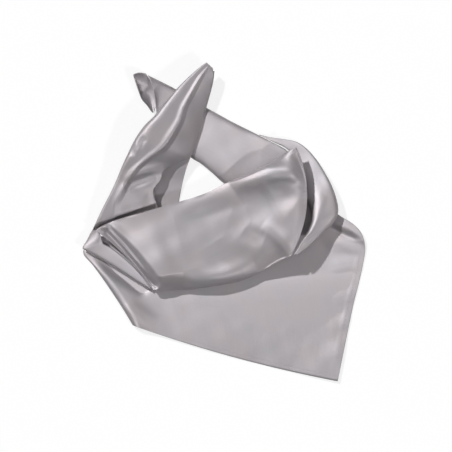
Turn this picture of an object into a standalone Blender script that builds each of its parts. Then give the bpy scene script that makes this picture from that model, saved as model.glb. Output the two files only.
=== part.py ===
"""A square satin neckerchief, folded into a band and laid in a loop on a table.

The cloth is one hemmed square. Its right-angle corner lies flat as the point panel. The rest is
folded and laid round in a loop, and each stretch of it that shows is an object of its own.
Blender's units are metres, and the tables here are in millimetres. +Z is up, the table is at
Z = 0, and the origin is on the table under the middle of the scarf. +Y runs from the hanging
point towards the crossed tails.
"""

import bpy
import bmesh
import numpy as np

MM = 0.001

# One layer of satin, the gap between two pieces that touch, and the strip turned under as a hem
WALL = 1.0
SEAM_GAP = 0.3
HEM_WIDTH = 6.0
HEM_STRIP = 1.0
HEM_GAP = 0.45

# The inner face of a sleeve keeps this bulge, and this much of its width, where the sleeve closes
LEAST_BULGE = 0.15
MOST_MARGIN = 0.3

# The height above the table of pieces that lie on the panel, and on its pleat at the right
ON_PANEL = WALL + SEAM_GAP
ON_PLEAT = ON_PANEL + 0.4

# The tables give places as seen from straight above: across from the left and down from the top
# of a 452 mm square of the table, and height above the table.
MIDDLE_ACROSS = 224.1
MIDDLE_DOWN = 222.1

SATIN_COLOUR = (0.46, 0.435, 0.455, 1.0)
SATIN_ROUGHNESS = 0.38
SATIN_METALLIC = 0.0

# A sleeve is a flattened tube. Each row is one section: its two edges, how far the upper layer
# rises and the lower one drops from the line between them, where across the width the upper layer
# peaks, how far the section bows in plan, and the height of the layers it lies on.
SLEEVE_COLUMNS = (
    "a_across", "a_down", "a_height",
    "b_across", "b_down", "b_height",
    "crown", "belly", "peak", "bow", "under",
)

# The cowl runs from its open left end to the pinch. Edge a is its upper edge, b its lower edge.
FRONT_COWL = (
    (96.2, 230.4, 17.5, 152.6, 289.4, 14.0, 4.5, 4.2, 0.50, -3.6, ON_PANEL),
    (99.5, 227.8, 17.6, 154.4, 290.2, 13.4, 6.5, 4.4, 0.50, -3.0, ON_PANEL),
    (104.0, 225.0, 17.8, 157.0, 290.6, 12.8, 12.0, 4.8, 0.52, -1.8, ON_PANEL),
    (109.5, 222.6, 18.0, 160.5, 290.7, 12.0, 15.5, 5.0, 0.54, 0.0, ON_PANEL),
    (119.0, 219.2, 18.0, 165.5, 290.7, 11.0, 16.0, 5.5, 0.54, 0.0, ON_PANEL),
    (140.0, 213.5, 18.0, 177.0, 290.2, 8.6, 15.0, 6.0, 0.52, 0.0, ON_PANEL),
    (160.0, 207.5, 18.0, 193.0, 289.0, 6.2, 14.0, 9.0, 0.48, 0.0, ON_PANEL),
    (182.0, 201.0, 18.0, 212.8, 286.3, 4.8, 13.0, 12.0, 0.46, 0.0, ON_PANEL),
    (205.0, 193.5, 18.5, 231.9, 283.0, 5.4, 12.5, 12.5, 0.46, 0.0, ON_PANEL),
    (229.0, 181.5, 19.5, 249.0, 277.5, 8.8, 12.0, 12.5, 0.47, 0.0, ON_PANEL),
    (252.0, 171.5, 20.5, 264.0, 269.5, 15.0, 11.0, 13.5, 0.48, -1.0, ON_PANEL),
    (274.0, 160.5, 23.0, 276.5, 262.0, 21.5, 9.5, 15.0, 0.48, -4.0, ON_PANEL),
    (288.0, 151.5, 26.5, 285.5, 257.5, 25.5, 6.5, 13.0, 0.50, -9.0, ON_PANEL),
    (296.0, 147.6, 28.5, 290.4, 256.0, 28.0, 1.6, 2.0, 0.50, -13.5, ON_PANEL),
)

# The turn runs clockwise from the crease at the band's upper edge down to the pinch. Edge a is the
# outer side, b the side next to the cowl.
RIGHT_TURN = (
    (259.0, 134.6, 4.0, 262.4, 136.6, 4.6, 1.2, 2.4, 0.50, 0.0, 0.0),
    (270.0, 137.2, 4.4, 272.8, 141.8, 5.8, 1.4, 4.0, 0.45, 0.0, 0.0),
    (283.5, 139.2, 5.0, 285.4, 148.0, 6.4, 1.8, 4.8, 0.40, 0.0, 0.0),
    (296.5, 142.0, 5.4, 293.0, 156.0, 6.2, 2.4, 5.4, 0.36, 0.0, 0.0),
    (306.5, 148.6, 5.8, 297.0, 170.0, 6.2, 3.0, 5.6, 0.34, 0.0, 0.0),
    (315.5, 158.6, 6.4, 299.5, 182.0, 6.8, 3.6, 6.0, 0.34, 0.0, 0.0),
    (323.5, 170.6, 7.2, 303.0, 193.0, 9.5, 4.4, 6.8, 0.36, 0.0, ON_PANEL),
    (331.0, 184.5, 8.2, 308.0, 203.0, 14.0, 5.4, 8.4, 0.40, 0.0, ON_PANEL),
    (336.3, 199.0, 8.8, 310.5, 212.0, 19.5, 6.2, 13.0, 0.44, 0.0, ON_PLEAT),
    (338.0, 212.0, 9.4, 310.8, 221.0, 23.5, 6.4, 16.0, 0.46, 0.0, ON_PLEAT),
    (333.5, 223.0, 10.5, 307.6, 230.5, 24.5, 6.6, 16.5, 0.48, 0.0, ON_PLEAT),
    (323.0, 232.8, 16.5, 303.4, 238.0, 26.0, 4.6, 15.5, 0.50, 0.0, ON_PLEAT),
    (312.0, 242.5, 22.0, 299.8, 244.0, 27.0, 2.8, 9.0, 0.50, 0.0, ON_PANEL),
    (303.5, 249.8, 25.5, 296.6, 249.8, 27.5, 1.8, 4.0, 0.50, 0.0, ON_PANEL),
    (297.0, 254.6, 27.0, 293.6, 254.0, 27.5, 1.2, 1.8, 0.50, 0.0, ON_PANEL),
)

# The band runs from under the tails' crossing to under the cowl. Edge a is its upper edge.
BACK_BAND = (
    (190.5, 99.0, 4.6, 172.5, 137.4, 4.6, 4.6, 5.6, 0.50, 0.0, 0.0),
    (205.5, 107.4, 4.8, 190.0, 156.6, 5.2, 5.2, 5.8, 0.52, 0.0, 0.0),
    (218.3, 114.4, 4.8, 201.0, 163.8, 5.4, 5.4, 6.0, 0.54, 0.0, 0.0),
    (231.0, 121.4, 4.8, 212.0, 172.8, 5.4, 5.4, 6.0, 0.54, 0.0, 0.0),
    (243.8, 127.8, 4.6, 225.0, 184.0, 5.4, 5.2, 6.0, 0.54, 0.0, 0.0),
    (256.5, 134.2, 5.4, 239.0, 189.0, 5.0, 3.8, 6.0, 0.50, 0.0, 0.0),
    (271.0, 141.8, 6.6, 256.0, 183.0, 5.4, 2.2, 7.0, 0.50, 0.0, 0.0),
    (284.0, 148.6, 6.8, 271.0, 177.0, 5.4, 1.6, 7.0, 0.50, 0.0, 0.0),
    (290.0, 153.6, 6.8, 281.0, 172.0, 5.4, 1.4, 7.0, 0.50, 0.0, 0.0),
)

# The tip carries the band on, left of the crossing, to the mouth at its end.
BACK_TIP = (
    (189.8, 98.6, 4.6, 171.8, 137.0, 4.6, 4.4, 5.6, 0.50, 0.0, 0.0),
    (176.5, 89.7, 4.8, 163.0, 124.0, 4.6, 4.6, 5.6, 0.50, 0.0, 0.0),
    (163.0, 82.7, 5.2, 157.5, 116.0, 4.6, 5.0, 5.6, 0.50, 0.0, 0.0),
    (148.2, 75.4, 6.0, 156.4, 111.6, 5.0, 6.5, 5.8, 0.45, -2.0, 0.0),
)

# The left tail runs from under the cowl up to its point. Edge a is its left side.
LEFT_TAIL = (
    (91.9, 231.4, 7.5, 157.0, 217.0, 8.0, 4.0, 8.0, 0.36, 0.0, 0.0),
    (97.0, 220.6, 8.2, 157.6, 207.0, 9.5, 7.0, 8.6, 0.32, 0.0, 0.0),
    (103.5, 207.0, 9.6, 155.0, 198.5, 11.0, 7.4, 10.0, 0.28, 0.0, 0.0),
    (110.8, 193.0, 11.4, 154.6, 190.0, 12.4, 8.4, 11.2, 0.30, 0.0, 0.0),
    (117.0, 179.6, 13.4, 160.5, 180.0, 13.2, 8.8, 11.5, 0.32, 0.0, 0.0),
    (121.5, 168.5, 15.6, 164.0, 172.0, 13.5, 9.2, 11.0, 0.36, 0.0, 3.0),
    (127.5, 155.5, 18.4, 174.0, 164.5, 13.0, 10.0, 9.0, 0.42, 0.0, 8.0),
    (135.3, 139.8, 21.4, 190.0, 156.4, 13.2, 10.4, 5.6, 0.46, 0.0, 12.1),
    (144.5, 126.5, 23.2, 197.0, 140.0, 13.2, 10.6, 6.2, 0.48, 0.0, 12.1),
    (154.7, 116.3, 24.2, 201.5, 125.0, 13.2, 10.4, 6.6, 0.48, 0.0, 12.2),
    (162.8, 106.2, 24.4, 204.6, 108.6, 13.6, 9.6, 6.4, 0.48, 0.0, 12.8),
    (176.6, 89.8, 23.4, 209.5, 93.0, 15.0, 7.0, 5.0, 0.48, 0.0, 14.0),
    (190.0, 76.5, 21.8, 212.4, 80.5, 16.6, 4.6, 3.6, 0.48, 0.0, 15.4),
    (200.0, 67.8, 20.6, 213.2, 73.6, 17.8, 2.8, 2.4, 0.50, 0.0, 16.6),
    (206.6, 63.0, 19.5, 212.4, 68.4, 18.5, 1.5, 1.6, 0.50, 0.0, 16.6),
)

# The lip is the fold that shows under the cowl's open end. Edge a is its outer, lower-left side.
LOWER_LIP = (
    (90.9, 233.4, 7.4, 98.4, 231.8, 7.8, 2.4, 3.0, 0.40, 0.0, 0.0),
    (87.2, 240.2, 7.2, 100.4, 234.4, 8.2, 2.6, 3.4, 0.40, 0.2, 0.0),
    (83.9, 245.2, 7.4, 101.6, 237.4, 8.6, 2.8, 3.6, 0.40, 0.8, 0.0),
    (83.0, 248.6, 7.6, 102.8, 241.0, 8.8, 3.0, 3.8, 0.40, 1.2, 0.0),
    (87.0, 250.8, 7.8, 104.6, 244.2, 9.2, 3.0, 3.8, 0.40, 0.8, 0.0),
    (97.0, 255.8, 8.2, 110.6, 247.2, 9.4, 2.6, 3.6, 0.42, 0.6, 0.0),
    (110.0, 263.6, 8.4, 120.0, 254.0, 9.4, 2.4, 3.4, 0.45, 0.5, 0.0),
    (124.0, 272.4, 8.4, 130.6, 263.2, 9.4, 2.2, 3.2, 0.45, 0.4, 0.0),
    (138.0, 281.4, 8.4, 141.6, 274.6, 9.2, 1.8, 2.8, 0.45, 0.2, 0.0),
    (150.0, 289.0, 8.0, 151.0, 286.0, 8.4, 1.2, 2.0, 0.50, 0.0, 0.0),
)

# A sheet is a single layer. Each row gives its two edges, the height half-way between them, and
# how far the row bows in plan.
SHEET_COLUMNS = (
    "a_across", "a_down", "a_height",
    "b_across", "b_down", "b_height",
    "middle", "bow",
)

# The panel runs from its hidden upper edge, under the loop, down to its lower hem. Edge a is the
# rolled left side and b the hemmed right side.
POINT_PANEL = (
    (92.0, 238.0, 3.0, 318.0, 196.0, 1.0, 1.0, 0.0),
    (86.0, 245.5, 3.6, 326.0, 205.0, 1.0, 1.0, 0.0),
    (83.4, 251.0, 4.2, 339.5, 215.5, 1.0, 1.0, 0.0),
    (85.0, 256.4, 5.0, 353.0, 224.0, 1.6, 1.0, 0.0),
    (93.0, 265.4, 6.4, 361.4, 233.5, 2.45, 1.0, 0.0),
    (103.0, 279.0, 6.8, 365.2, 247.5, 2.45, 1.0, 0.0),
    (111.5, 291.5, 7.0, 363.0, 264.0, 2.45, 1.0, 0.0),
    (118.5, 302.0, 7.2, 358.6, 284.0, 2.45, 1.0, 0.6),
    (124.0, 310.6, 7.6, 352.0, 311.0, 2.45, 1.0, 1.8),
    (132.8, 325.2, 8.4, 337.6, 381.2, 2.45, 2.45, 4.2),
)
PANEL_MIDDLE_COLUMNS = 7

# Across the panel from its left edge: the cloth comes out from underneath, where its first two
# points face down, and rises to a rounded fold.
ROLLED_EDGE = (
    # inward, share of the fold's rise
    (3.6, -0.15),
    (1.2, 0.02),
    (0.0, 0.32),
    (0.4, 0.62),
    (2.0, 0.85),
    (5.0, 0.98),
    (8.0, 0.96),
    (13.0, 0.76),
    (20.0, 0.50),
    (30.0, 0.24),
    (46.0, 0.0),
)
TURNED_UNDER = 2
FOLD_TOP = 5

# Across the panel from its right edge: the hem's strip lifts the cloth, which then comes down.
HEMMED_EDGE = (
    # inward, share of the edge's rise
    (0.0, 1.0),
    (3.0, 1.0),
    (6.0, 1.0),
    (10.5, 0.5),
    (16.0, 0.1),
    (25.0, 0.0),
)
HEM_POINTS = 3
SIDE_HEM_FROM = 10

# The folds that stand up from the flat of the panel. Each is a soft ridge along a straight line,
# highest half-way and gone at both ends.
PANEL_FOLDS = (
    # from_across, from_down, to_across, to_down, rise, half_width
    (338.0, 216.0, 370.0, 243.0, 5.0, 8.0),
    (329.0, 233.0, 367.0, 247.0, 1.6, 4.5),
    (104.0, 314.0, 254.0, 368.0, 2.0, 16.0),
    (124.0, 300.0, 158.0, 322.0, 1.2, 6.0),
)

# The leaf runs from the tail's point down along the neck hole to under the cowl. Edge b is the
# hemmed edge that shows.
TAIL_LEAF = (
    (205.0, 72.6, 16.0, 214.6, 71.6, 16.2, 16.1, 0.0),
    (197.0, 84.0, 14.4, 212.8, 84.6, 14.8, 14.6, 0.0),
    (187.0, 103.0, 12.0, 207.2, 105.4, 12.0, 12.0, 0.0),
    (181.0, 118.0, 11.7, 203.4, 120.4, 11.7, 11.7, 0.0),
    (174.0, 136.0, 11.6, 198.4, 138.2, 11.7, 11.8, 0.0),
    (167.0, 149.0, 10.2, 193.4, 151.0, 11.5, 11.2, 0.0),
    (160.0, 163.0, 7.0, 187.4, 166.0, 8.8, 8.0, 0.0),
    (154.0, 178.0, 2.6, 182.8, 182.0, 3.8, 3.2, 0.0),
    (151.0, 196.0, 1.0, 179.2, 200.0, 1.2, 1.0, 0.0),
    (151.0, 214.0, 1.0, 177.0, 216.0, 1.0, 1.0, 0.0),
)

# The curl runs from inside the mouth of the back tip out to the corner of the cloth, and cups.
TIP_CURL = (
    (158.0, 87.5, 4.2, 160.0, 106.0, 3.8, 2.6, 0.0),
    (149.8, 79.6, 5.8, 155.6, 108.0, 4.9, 2.6, 0.0),
    (146.4, 74.4, 8.6, 152.9, 112.6, 5.2, 2.6, 0.0),
    (143.2, 73.4, 10.4, 147.6, 105.8, 7.4, 3.2, 0.0),
    (138.8, 73.2, 12.0, 142.0, 99.0, 9.8, 5.4, 1.0),
    (135.4, 74.2, 12.8, 138.4, 89.0, 11.4, 9.0, 1.0),
    (133.8, 74.8, 13.0, 135.8, 79.6, 12.6, 12.2, 0.4),
)


def columns(table, names, steps):
    """Each named column, read at even steps along a smooth curve through the table's rows.

    The curve is a Catmull-Rom spline: it passes each row parallel to the line that joins the rows
    before and after it.
    """
    rows = np.array(table, float)
    padded = np.vstack([2 * rows[0] - rows[1], rows, 2 * rows[-1] - rows[-2]])
    at = np.linspace(0, len(rows) - 1, steps)
    first = np.minimum(at.astype(int), len(rows) - 2)
    t = (at - first)[:, None]
    before, start, end, after = (padded[first + k] for k in range(4))
    curve = 0.5 * (
        2 * start
        + (end - before) * t
        + (2 * before - 5 * start + 4 * end - after) * t**2
        + (3 * start - before - 3 * end + after) * t**3
    )
    return {name: curve[:, k : k + 1] for k, name in enumerate(names)}


def section_width(c):
    """The distance in plan between the two edges of each section."""
    return np.hypot(c["b_across"] - c["a_across"], c["b_down"] - c["a_down"])


def chord(c, share):
    """The point at each share of the way from edge a to edge b, moved sideways by the bow."""
    run_across = c["b_across"] - c["a_across"]
    run_down = c["b_down"] - c["a_down"]
    push = c["bow"] * 4 * share * (1 - share) / section_width(c)
    across = c["a_across"] + run_across * share - push * run_down
    down = c["a_down"] + run_down * share + push * run_across
    height = c["a_height"] + (c["b_height"] - c["a_height"]) * share
    return across, down, height


def in_place(across, down, height):
    """Places and heights from the tables, as points in metres about the origin."""
    return MM * np.stack([across - MIDDLE_ACROSS, MIDDLE_DOWN - down, height], axis=-1)


def sleeve_loops(c, around, inset):
    """A closed loop of points round each section, inset from the cloth's outer face.

    Round the loop the share of the width goes as a cosine and the height as a half ellipse, so
    both edges are rounded. The peak shifts the upper half's top along the width, and the lower
    half flattens where it meets what it lies on.
    """
    angle = np.linspace(0, 2 * np.pi, around, endpoint=False)[None, :]
    share = (1 - np.cos(angle)) / 2
    margin = np.minimum(inset / section_width(c), MOST_MARGIN)
    across, down, height = chord(c, margin + (1 - 2 * margin) * share)
    skewed = share ** (np.log(0.5) / np.log(c["peak"]))
    upper = 2 * np.sqrt(np.clip(skewed * (1 - skewed), 0, None))
    rise = np.maximum(c["crown"] - inset, LEAST_BULGE) * upper
    drop = np.maximum(c["belly"] - inset, LEAST_BULGE) * np.abs(np.sin(angle))
    height = np.where(angle <= np.pi, height + rise, height - drop)
    return in_place(across, down, np.maximum(height, np.maximum(c["under"], 0) + inset))


def strips(first, loops, around):
    """The faces between each loop of points and the next, from point number first."""
    faces = []
    for i in range(loops - 1):
        for j in range(around):
            here, there = first + i * around, first + (i + 1) * around
            k = (j + 1) % around
            faces.append((here + j, here + k, there + k, there + j))
    return faces


def satin(name):
    """A silver-grey polyester satin for one piece."""
    material = bpy.data.materials.new(name + "_satin")
    material.use_nodes = True
    shader = material.node_tree.nodes["Principled BSDF"]
    shader.inputs["Base Color"].default_value = SATIN_COLOUR
    shader.inputs["Roughness"].default_value = SATIN_ROUGHNESS
    shader.inputs["Metallic"].default_value = SATIN_METALLIC
    return material


def cloth_object(name, points, faces):
    """A smooth-shaded satin object of these points and faces."""
    mesh = bpy.data.meshes.new(name)
    mesh.from_pydata(points.reshape(-1, 3).tolist(), [], faces)
    shape = bmesh.new()
    shape.from_mesh(mesh)
    bmesh.ops.recalc_face_normals(shape, faces=shape.faces)
    shape.to_mesh(mesh)
    shape.free()
    mesh.shade_smooth()
    mesh.materials.append(satin(name))
    piece = bpy.data.objects.new(name, mesh)
    bpy.context.scene.collection.objects.link(piece)
    return piece


def hollow_sleeve(name, table, sections, around):
    """A flattened tube with a cloth wall all round, open at both ends."""
    c = columns(table, SLEEVE_COLUMNS, sections)
    outer = sleeve_loops(c, around, 0.0)
    inner = sleeve_loops(c, around, WALL)
    inner_first = sections * around
    faces = strips(0, sections, around) + strips(inner_first, sections, around)
    for rim in (0, inner_first - around):
        for j in range(around):
            k = (j + 1) % around
            faces.append((rim + j, rim + k, inner_first + rim + k, inner_first + rim + j))
    return cloth_object(name, np.concatenate([outer, inner]), faces)


def pressed_fold(name, table, sections, around):
    """A flat stretch whose hidden layers lie pressed together as one rounded solid."""
    c = columns(table, SLEEVE_COLUMNS, sections)
    points = sleeve_loops(c, around, 0.0)
    faces = strips(0, sections, around)
    last = (sections - 1) * around
    faces.append(tuple(range(around)))
    faces.append(tuple(range(last, last + around)))
    return cloth_object(name, points, faces)


def sheet_object(name, points, thickness):
    """A single layer with this grid of points as its upper face, made solid by Solidify."""
    rows, across = points.shape[:2]
    faces = [
        (i * across + j, i * across + j + 1, (i + 1) * across + j + 1, (i + 1) * across + j)
        for i in range(rows - 1)
        for j in range(across - 1)
    ]
    piece = cloth_object(name, points, faces)
    if sum(face.normal.z * face.area for face in piece.data.polygons) < 0:
        piece.data.flip_normals()
    wall = piece.modifiers.new("wall", "SOLIDIFY")
    wall.thickness = thickness * MM
    wall.offset = -1.0
    return piece


def sheet_points(table, sections, across_count):
    """The upper face of a sheet. Across it, the height is the parabola through three heights."""
    c = columns(table, SHEET_COLUMNS, sections)
    share = np.linspace(0, 1, across_count)[None, :]
    across, down, _ = chord(c, share)
    height = (
        c["a_height"] * (1 - share) * (1 - 2 * share)
        + c["middle"] * 4 * share * (1 - share)
        + c["b_height"] * share * (2 * share - 1)
    )
    return in_place(across, down, np.maximum(height, WALL))


def fold_rise(across, down, fold):
    """The height that one of the panel's folds adds at each place."""
    from_across, from_down, to_across, to_down, rise, half_width = fold
    run = np.array([to_across - from_across, to_down - from_down])
    length = np.hypot(*run)
    unit = run / length
    along = ((across - from_across) * unit[0] + (down - from_down) * unit[1]) / length
    off = (across - from_across) * -unit[1] + (down - from_down) * unit[0]
    envelope = np.where((along > 0) & (along < 1), np.sin(np.pi * along), 0)
    return rise * envelope * np.exp(-((off / half_width) ** 2))


def panel_points():
    """The upper face of the point panel, two sections to each row of its table."""
    c = columns(POINT_PANEL, SHEET_COLUMNS, 2 * len(POINT_PANEL) - 1)
    width = section_width(c)
    rolled = np.array(ROLLED_EDGE)
    hemmed = np.array(HEMMED_EDGE)[::-1]
    left = rolled[:, 0] / width
    right = 1 - hemmed[:, 0] / width
    between = np.linspace(0, 1, PANEL_MIDDLE_COLUMNS + 2)[1:-1]
    middle = left[:, -1:] + (right[:, :1] - left[:, -1:]) * between
    share = np.hstack([left, middle, right])
    across, down, _ = chord(c, share)
    flat = np.zeros(PANEL_MIDDLE_COLUMNS)
    from_left = np.concatenate([rolled[:, 1], flat, 0 * hemmed[:, 1]])
    from_right = np.concatenate([0 * rolled[:, 1], flat, hemmed[:, 1]])
    height = (
        c["middle"]
        + (c["a_height"] - c["middle"]) * from_left
        + (c["b_height"] - c["middle"]) * from_right
    )
    lowest = np.where(np.arange(share.shape[1]) < TURNED_UNDER, 0, WALL)
    height = np.maximum(height, lowest)
    for fold in PANEL_FOLDS:
        height[:, TURNED_UNDER:] += fold_rise(across, down, fold)[:, TURNED_UNDER:]
    return hemmed_below(in_place(across, down, height))


def hemmed_below(points):
    """The same grid with two more sections across it, where the hem's strip lies underneath.

    They follow the grid's own lines, half a hem's width and a whole one in from the last section,
    and keep its height.
    """
    edge = points[-1]
    line = edge[-1, :2] - edge[FOLD_TOP, :2]
    inward = np.array([-line[1], line[0]]) / np.hypot(*line)
    run = points[-2, :, :2] - edge[:, :2]
    step = np.zeros_like(edge)
    step[:, :2] = run * (HEM_WIDTH * MM / (run @ inward))[:, None]
    return np.concatenate([points[:-1], [edge + step, edge + step / 2, edge]])


def hem_strip(name, points):
    """The turned hem under the panel's edge, a strip that follows these points of its face."""
    return sheet_object(name, points - np.array([0, 0, (WALL + HEM_GAP) * MM]), HEM_STRIP)


def shortened(points):
    """The same grid with its last section drawn back by the gap that a seam leaves."""
    run = points[-2] - points[-1]
    share = SEAM_GAP * MM / np.linalg.norm(run, axis=1, keepdims=True)
    return np.concatenate([points[:-1], points[-1:] + run * share])


def clear_scene():
    """Removes the objects that a new file starts with."""
    for obj in list(bpy.data.objects):
        bpy.data.objects.remove(obj, do_unlink=True)


def build():
    """Makes every stretch of the scarf."""
    clear_scene()
    panel = panel_points()
    sheet_object("point_panel", panel, WALL)
    hem_strip("hem_lower", panel[-HEM_POINTS:, FOLD_TOP:])
    hem_strip("hem_side", shortened(panel[SIDE_HEM_FROM : 1 - HEM_POINTS, -HEM_POINTS:]))
    hollow_sleeve("front_cowl", FRONT_COWL, 27, 22)
    hollow_sleeve("right_turn", RIGHT_TURN, 23, 14)
    hollow_sleeve("left_tail", LEFT_TAIL, 23, 18)
    pressed_fold("back_band", BACK_BAND, 13, 20)
    hollow_sleeve("back_tip", BACK_TIP, 7, 20)
    pressed_fold("lower_lip", LOWER_LIP, 16, 12)
    sheet_object("tail_leaf", sheet_points(TAIL_LEAF, 19, 6), WALL)
    sheet_object("tip_curl", sheet_points(TIP_CURL, 13, 8), WALL)


build()
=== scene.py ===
# %% [markdown]
# # A satin neckerchief, folded and laid in a loop
#
# The scarf is one hemmed square of silver-grey satin. It is folded into a band and laid in a loop, so
# what we see is a handful of stretches: a flat corner panel, a big puffed fold across the front, a
# turn at the right, a flat band at the back and two tails that cross.
#
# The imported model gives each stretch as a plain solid. Here each solid gets a thin shell of cloth in
# its place, with the real one's creases, hems and sheen. We could sculpt these shells, or drop a
# simulated square and hope for the same folds. We work them out from short tables of sections instead,
# because then every fold lies where the photograph has it, and one number moves it.
#
# We load the frame first and keep its box, to compare the cloth with it at the end.

import bpy
import numpy as np
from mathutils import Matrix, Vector


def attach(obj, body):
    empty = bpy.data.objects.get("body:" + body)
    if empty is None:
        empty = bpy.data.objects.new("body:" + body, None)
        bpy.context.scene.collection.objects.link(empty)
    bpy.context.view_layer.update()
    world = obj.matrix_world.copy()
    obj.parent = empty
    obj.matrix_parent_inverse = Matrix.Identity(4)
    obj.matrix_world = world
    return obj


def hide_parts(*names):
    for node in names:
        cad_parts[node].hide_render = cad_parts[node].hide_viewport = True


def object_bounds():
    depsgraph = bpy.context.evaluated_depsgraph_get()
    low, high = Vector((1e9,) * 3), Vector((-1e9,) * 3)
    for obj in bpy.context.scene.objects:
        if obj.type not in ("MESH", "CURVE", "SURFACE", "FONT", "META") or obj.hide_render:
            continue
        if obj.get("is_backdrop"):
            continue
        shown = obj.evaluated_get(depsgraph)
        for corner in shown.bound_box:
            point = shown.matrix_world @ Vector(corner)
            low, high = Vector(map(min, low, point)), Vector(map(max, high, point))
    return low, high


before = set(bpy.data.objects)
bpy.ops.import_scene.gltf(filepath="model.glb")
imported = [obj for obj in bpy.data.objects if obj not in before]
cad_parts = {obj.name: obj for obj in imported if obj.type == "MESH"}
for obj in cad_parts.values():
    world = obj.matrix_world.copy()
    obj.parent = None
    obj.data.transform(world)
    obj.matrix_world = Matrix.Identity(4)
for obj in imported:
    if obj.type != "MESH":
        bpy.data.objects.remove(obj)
cad_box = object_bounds()
MM = 0.001
print("frame holds", sorted(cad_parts))

# %% [markdown]
# ## One square of table to measure in
#
# Everything is measured from straight above, in millimetres: across from the left and down from the
# top of a 452 mm square of table. One function turns such places into metres about the origin.
#
# The camera looks straight down on that square. It could hang an arm's length above the table and see
# the tall folds from nearer than the flat ones. The photograph shows hardly any such perspective, so
# the camera hangs at five metres, with a long lens.

# %% Places, and the camera above them
SQUARE = 452.0
MIDDLE_ACROSS = 224.1
MIDDLE_DOWN = 222.1


def in_place(across, down, height):
    """Points in metres: across minus the middle, the middle minus down, and the height."""
    across, down, height = np.broadcast_arrays(across, down, height)
    return MM * np.stack([across - MIDDLE_ACROSS, MIDDLE_DOWN - down, height], axis=-1)


CAMERA_HEIGHT = 5.0
SENSOR = 36.0

view = bpy.data.cameras.new("view")
view.sensor_width = SENSOR
view.lens = SENSOR * CAMERA_HEIGHT / (SQUARE * MM)
view.clip_end = 20.0
camera = bpy.data.objects.new("camera", view)
bpy.context.scene.collection.objects.link(camera)
camera.location = in_place(SQUARE / 2, SQUARE / 2, CAMERA_HEIGHT / MM)
bpy.context.scene.camera = camera
print("lens", round(view.lens), "mm")

# %% [markdown]
# ## Light that suits satin
#
# Satin is a mirror with a very rough polish, so its lights matter as much as its colour. The photograph
# has two sets of shadows. The stronger ones fall to the lower right and the weaker ones to the upper
# left, and their lengths against the folds' heights put both lamps about 46 degrees up. A wide soft
# panel overhead gives the flat stretches their even sheen, and slopes that turn away from it go dark.
#
# The two strong lights could be area lamps as well. We take suns, because it doesn't matter where a sun
# stands, only which way its light travels. We give that way as the shadow's step for each millimetre
# of height, which is what can be measured in a picture. The wider a sun's disc is, the softer its
# shadow's edge.

# %% The lamps
KEY_STEP = (0.655, 0.724)
KEY_STRENGTH = 2.6
KEY_DISC = 2.5
COUNTER_STEP = (-0.75, -0.583)
COUNTER_STRENGTH = 0.95
COUNTER_DISC = 5.0
SOFTBOX_HEIGHT = 6.0
SOFTBOX_SIZE = 7.0
SOFTBOX_POWER = 60.0
ROOM_COLOUR = (0.97, 0.98, 1.0, 1.0)
ROOM_STRENGTH = 0.04


def sun(name, shadow_step, strength, disc):
    """A sun whose shadows move by shadow_step, across and down, for each unit of height.

    Its light travels along (across, minus down, minus one), and its disc is given in degrees.
    """
    lamp = bpy.data.lights.new(name, "SUN")
    lamp.energy = strength
    lamp.angle = np.radians(disc)
    piece = bpy.data.objects.new(name, lamp)
    travel = Vector((shadow_step[0], -shadow_step[1], -1.0))
    piece.rotation_euler = travel.to_track_quat("-Z", "Y").to_euler()
    bpy.context.scene.collection.objects.link(piece)
    print(name, round(np.degrees(np.arctan(1 / np.hypot(*shadow_step)))), "degrees up")


sun("key_lamp", KEY_STEP, KEY_STRENGTH, KEY_DISC)
sun("counter_lamp", COUNTER_STEP, COUNTER_STRENGTH, COUNTER_DISC)

softbox = bpy.data.lights.new("softbox", "AREA")
softbox.shape = "DISK"
softbox.size = SOFTBOX_SIZE
softbox.energy = SOFTBOX_POWER
overhead = bpy.data.objects.new("softbox", softbox)
overhead.location = (0.0, 0.0, SOFTBOX_HEIGHT)
bpy.context.scene.collection.objects.link(overhead)

world = bpy.data.worlds.new("studio")
world.use_nodes = True
world.node_tree.nodes["Background"].inputs["Color"].default_value = ROOM_COLOUR
world.node_tree.nodes["Background"].inputs["Strength"].default_value = ROOM_STRENGTH
bpy.context.scene.world = world
bpy.context.scene.view_settings.view_transform = "Standard"
bpy.context.scene.view_settings.look = "None"

# %% [markdown]
# ## The floor
#
# The scarf lies on plain white paper that is almost burnt out in the photograph: even its shadows stay
# pale. Plain white paper under these lamps would show them far too dark, and a floor that only
# catches shadows needs a picture behind it. So the camera sees paper that is mostly a glow of its
# own, while the cloth is lit by an ordinary white sheet. The light path says which of the two a ray
# asks for.

# %% A pale floor
FLOOR_REACH = 6.0
PAPER_WHITE = (0.62, 0.62, 0.62, 1.0)
SHADED_WHITE = (0.21, 0.21, 0.21, 1.0)
PAPER_GLOW = 0.79


def white_paper():
    """Diffuse white for the light it throws back; for the camera, a glow and a little diffuse."""
    material = bpy.data.materials.new("white_paper")
    material.use_nodes = True
    nodes, links = material.node_tree.nodes, material.node_tree.links
    nodes.remove(nodes["Principled BSDF"])
    paper = nodes.new("ShaderNodeBsdfDiffuse")
    paper.inputs["Color"].default_value = PAPER_WHITE
    pale = nodes.new("ShaderNodeBsdfDiffuse")
    pale.inputs["Color"].default_value = SHADED_WHITE
    glow = nodes.new("ShaderNodeEmission")
    glow.inputs["Strength"].default_value = PAPER_GLOW
    both = nodes.new("ShaderNodeAddShader")
    links.new(pale.outputs["BSDF"], both.inputs[0])
    links.new(glow.outputs["Emission"], both.inputs[1])
    path = nodes.new("ShaderNodeLightPath")
    choice = nodes.new("ShaderNodeMixShader")
    links.new(path.outputs["Is Camera Ray"], choice.inputs["Fac"])
    links.new(paper.outputs["BSDF"], choice.inputs[1])
    links.new(both.outputs["Shader"], choice.inputs[2])
    links.new(choice.outputs["Shader"], nodes["Material Output"].inputs["Surface"])
    return material


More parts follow.
